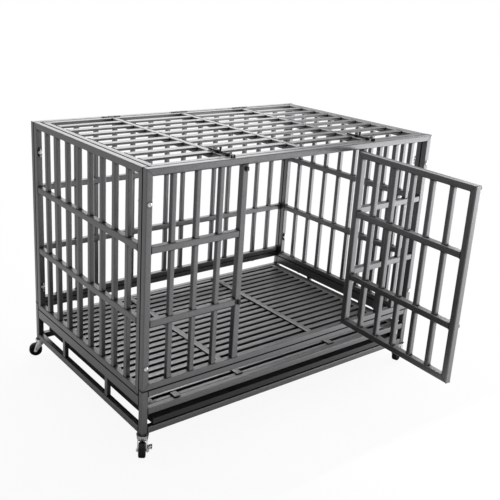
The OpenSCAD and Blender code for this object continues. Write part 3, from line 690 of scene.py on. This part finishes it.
bolts = piece_from(bm, "domed_corner_bolts", "crate", zinc_plate)
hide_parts("corner_bolts")
print("domed bolts of", 2 * HEAD_R / MM, "mm")

# %% [markdown]
# ## Studio floor
# The crate stands on a sheet of pale paper. A paper that is lit well enough to be white would throw
# too much light back on the crate, so the paper is a light grey to light, and nearly white to the
# camera. What is left of its own shading is the crate's soft shadow. Reflections see less of the
# white: none under the crate, which stands in its own shade, and little on the left, as if a dark
# card lay there. That card is what sets the left faces of the bars off from their front faces. On
# the right, where the soft boxes stand, the paper is brighter than white, again in reflections only.

# %% Lay the floor
FLOOR_HALF, NEAR_WHITE = 40.0, 0.93
FOOT_X, FOOT_Y, CLEAR, FULL_WHITE = 0.56, 0.36, 0.35, 2.0
PAPER_DARK, PAPER_LIGHT, FIBRE_SCALE = (0.68, 0.68, 0.68, 1.0), (0.72, 0.72, 0.72, 1.0), 0.6
CARD_FROM = -3.0
CARD = [(-2.4, 0.75), (-1.7, 0.25), (-0.9, 0.25), (-0.65, 0.90), (0.0, 1.0)]
SPILL, SPILL_CURVE, SPILL_X, SPILL_Y = 3.0, 1.5, (-0.2, 1.8), (-2.3, -1.7)


def seen_rays(tree):
    """One for rays from the camera, from gloss and through glass, and zero for the rest."""
    path = add(tree, "ShaderNodeLightPath").outputs
    return maths(tree, "MAXIMUM", path["Is Camera Ray"],
                 maths(tree, "MAXIMUM", path["Is Glossy Ray"], path["Is Transmission Ray"]))


floor_mesh = bpy.data.meshes.new("studio_floor")
floor_mesh.from_pydata([(-FLOOR_HALF, -FLOOR_HALF, 0), (FLOOR_HALF, -FLOOR_HALF, 0),
                        (FLOOR_HALF, FLOOR_HALF, 0), (-FLOOR_HALF, FLOOR_HALF, 0)], [],
                       [(0, 1, 2, 3)])
floor = bpy.data.objects.new("studio_floor", floor_mesh)
bpy.context.scene.collection.objects.link(floor)
floor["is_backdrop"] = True
pale = bpy.data.materials.new("studio_paper")
pale.use_nodes = True
tree = pale.node_tree
paper = tree.nodes["Principled BSDF"]
paper.inputs["Roughness"].default_value = 0.9
paper.inputs["Specular IOR Level"].default_value = 0.0
fibre = add(tree, "ShaderNodeTexNoise", Scale=FIBRE_SCALE, Detail=1.0)
tree.links.new(mix(tree, fibre.outputs["Fac"], PAPER_DARK, PAPER_LIGHT), paper.inputs["Base Color"])
glow = add(tree, "ShaderNodeEmission", Color=(1.0, 1.0, 1.0, 1.0), Strength=1.0)
blend = tree.nodes.new("ShaderNodeMixShader")
spot = add(tree, "ShaderNodeTexCoord").outputs["Object"]
split = add(tree, "ShaderNodeSeparateXYZ", Vector=spot).outputs
away = maths(tree, "MAXIMUM",
             maths(tree, "SUBTRACT", maths(tree, "ABSOLUTE", split["X"]), FOOT_X),
             maths(tree, "SUBTRACT", maths(tree, "ABSOLUTE", split["Y"]), FOOT_Y))
card = add(tree, "ShaderNodeValToRGB", Fac=spread(tree, split["X"], CARD_FROM, 0.0))
while len(card.color_ramp.elements) < len(CARD):
    card.color_ramp.elements.new(1.0)
for stop, (at_x, tone) in zip(card.color_ramp.elements, CARD):
    stop.position = 1.0 - at_x / CARD_FROM
    stop.color = (tone, tone, tone, 1.0)
clear = maths(tree, "MULTIPLY", spread(tree, away, 0.0, CLEAR), card.outputs["Color"])
whiteness = spread(tree, away, CLEAR, FULL_WHITE, NEAR_WHITE, 1.0)
direct = add(tree, "ShaderNodeLightPath").outputs["Is Camera Ray"]
spill = maths(tree, "MULTIPLY",
              maths(tree, "POWER", spread(tree, split["X"], *SPILL_X), SPILL_CURVE),
              spread(tree, split["Y"], *SPILL_Y))
spill = maths(tree, "MULTIPLY", spill, maths(tree, "SUBTRACT", 1.0, direct))
tree.links.new(maths(tree, "ADD", maths(tree, "MULTIPLY", spill, SPILL), 1.0),
               glow.inputs["Strength"])
share = maths(tree, "MAXIMUM", maths(tree, "MULTIPLY", direct, whiteness),
              maths(tree, "MULTIPLY", seen_rays(tree), clear))
tree.links.new(share, blend.inputs["Fac"])
tree.links.new(paper.outputs["BSDF"], blend.inputs[1])
tree.links.new(glow.outputs["Emission"], blend.inputs[2])
tree.links.new(blend.outputs["Shader"], tree.nodes["Material Output"].inputs["Surface"])
floor_mesh.materials.append(pale)
print("floor of", 2 * FLOOR_HALF, "m")

# %% [markdown]
# ## Lights
# The coat mirrors its surroundings, so the soft boxes are placed where the camera sees them in the
# tubes: one behind the crate for the tops, and a low one at the front right, which brightens the
# front from left to right. Two more from above and from the right end fill the shade. The world
# is white to the camera, less so to reflections, and dim to everything else.


# %% Place the soft boxes and the world
def soft_box(name, at, aim, size, watts):
    """A rectangular soft box at a place, turned towards a point and out of the picture."""
    data = bpy.data.lights.new(name, "AREA")
    data.shape = "RECTANGLE"
    data.size, data.size_y = size
    data.energy = watts
    lamp = bpy.data.objects.new(name, data)
    lamp.location = at
    lamp.rotation_euler = (Vector(aim) - Vector(at)).to_track_quat("-Z", "Y").to_euler()
    lamp.visible_camera = False
    bpy.context.scene.collection.objects.link(lamp)


WORLD_FILL, WORLD_SHEEN = 0.16, 0.6
soft_box("roof_light", (0.5, 0.8, 3.2), (0.0, 0.0, 0.6), (3.0, 2.4), 110.0)
soft_box("back_light", (1.6, 3.0, 2.2), (0.0, 0.0, 0.8), (2.2, 2.4), 28.0)
soft_box("right_light", (3.0, -0.2, 1.5), (0.0, 0.0, 0.5), (2.2, 1.8), 80.0)
soft_box("front_light", (2.2, -2.05, 0.32), (0.2, -0.3, 0.5), (2.0, 0.6), 14.0)

world = bpy.data.worlds.new("studio")
bpy.context.scene.world = world
world.use_nodes = True
tree = world.node_tree
backdrop = tree.nodes["Background"]
backdrop.inputs["Color"].default_value = (1.0, 1.0, 1.0, 1.0)
sheen = spread(tree, seen_rays(tree), 0.0, 1.0, WORLD_FILL, WORLD_SHEEN)
direct = add(tree, "ShaderNodeLightPath").outputs["Is Camera Ray"]
tree.links.new(maths(tree, "MAXIMUM", sheen, direct), backdrop.inputs["Strength"])
bpy.context.scene.view_settings.view_transform = "Standard"
print("studio ready")

# %% Print the sizes and finish
low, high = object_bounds()
print("dressed box", [round(v, 3) for v in low], [round(v, 3) for v in high])
